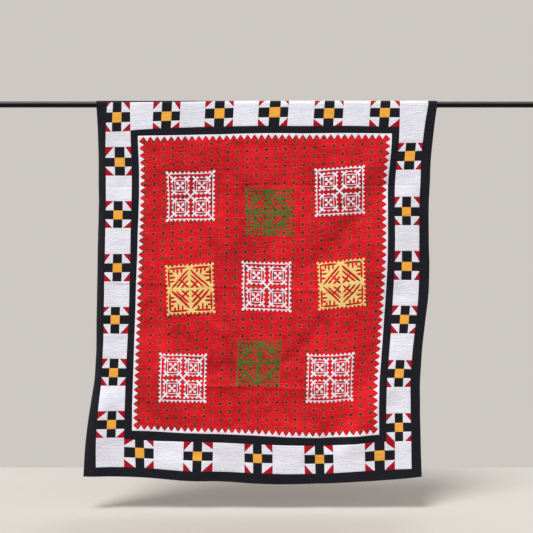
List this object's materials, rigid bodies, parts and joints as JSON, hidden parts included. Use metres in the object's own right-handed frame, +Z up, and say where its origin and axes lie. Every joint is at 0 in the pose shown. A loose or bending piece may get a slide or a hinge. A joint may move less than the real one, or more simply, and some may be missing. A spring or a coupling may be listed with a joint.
{
  "type": "ralli quilt hung over a metal rod",
  "caption": "Patchwork quilt folded over a round metal rod: printed red centre panel with sewn-on cut squares, sawtooth edging, narrow inner border, patchwork border and dark outer border.",
  "frame": {"origin": "on the rod's axis, half way along it", "axes": "+X along the rod, -Y towards the viewer of the quilt's face, +Z up"},
  "size_m": [3.4, 0.0698, 2.3733],
  "materials": {
    "rod_paint": "satin black paint",
    "navy_cloth": "matt plain cotton",
    "red_print_cloth": "matt printed cotton",
    "patchwork_cloth": "matt pieced cotton",
    "white_cloth": "matt plain cotton",
    "yellow_cloth": "matt plain cotton",
    "green_cloth": "matt plain cotton"
  },
  "bodies": {
    "root": {"rod": "rod_paint", "centre_panel": "red_print_cloth", "sawtooth_top": "white_cloth", "sawtooth_bottom": "white_cloth", "sawtooth_left": "white_cloth", "sawtooth_right": "white_cloth", "inner_border_top": "navy_cloth", "inner_border_bottom": "navy_cloth", "inner_border_left": "navy_cloth", "inner_border_right": "navy_cloth", "patchwork_top": "patchwork_cloth", "patchwork_bottom": "patchwork_cloth", "patchwork_left": "patchwork_cloth", "patchwork_right": "patchwork_cloth", "outer_border_top": "navy_cloth", "outer_border_bottom": "navy_cloth", "outer_border_left": "navy_cloth", "outer_border_right": "navy_cloth", "square_white_top_left": "white_cloth", "square_green_top": "green_cloth", "square_white_top_right": "white_cloth", "square_yellow_left": "yellow_cloth", "square_white_centre": "white_cloth", "square_yellow_right": "yellow_cloth", "square_white_bottom_left": "white_cloth", "square_green_bottom": "green_cloth", "square_white_bottom_right": "white_cloth"}
  },
  "joints": []
}
